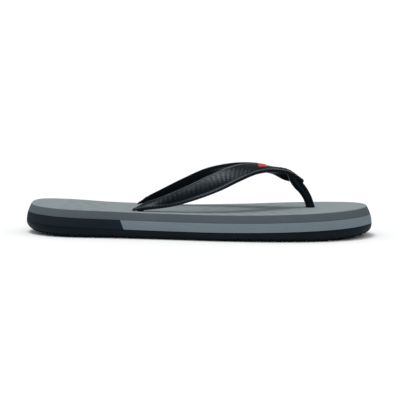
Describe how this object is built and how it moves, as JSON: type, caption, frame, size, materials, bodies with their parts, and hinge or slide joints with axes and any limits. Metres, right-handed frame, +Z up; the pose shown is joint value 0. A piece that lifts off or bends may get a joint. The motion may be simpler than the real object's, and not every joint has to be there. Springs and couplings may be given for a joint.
{
  "type": "flip flop",
  "caption": "Right-foot flip flop with a layered foam and rubber sole and a moulded Y strap with toe post and hidden plugs.",
  "frame": {"origin": "on the ground under the centre of the sole's bounding box", "axes": "+X to the toe, +Y to the inner (medial) side of the right foot, +Z up"},
  "size_m": [0.2844, 0.1085, 0.0596],
  "materials": {
    "footbed_foam": "matte foam sheet",
    "midsole_foam": "matte foam sheet",
    "dark_foam": "matte",
    "outsole_rubber": "matte",
    "strap_rubber": "satin, embossed on the outside",
    "badge_rubber": "satin"
  },
  "bodies": {
    "root": {"footbed": "footbed_foam", "midsole_heel": "dark_foam", "midsole_forefoot": "midsole_foam", "outsole": "outsole_rubber", "strap": "strap_rubber", "strap_badge": "badge_rubber"}
  },
  "joints": []
}
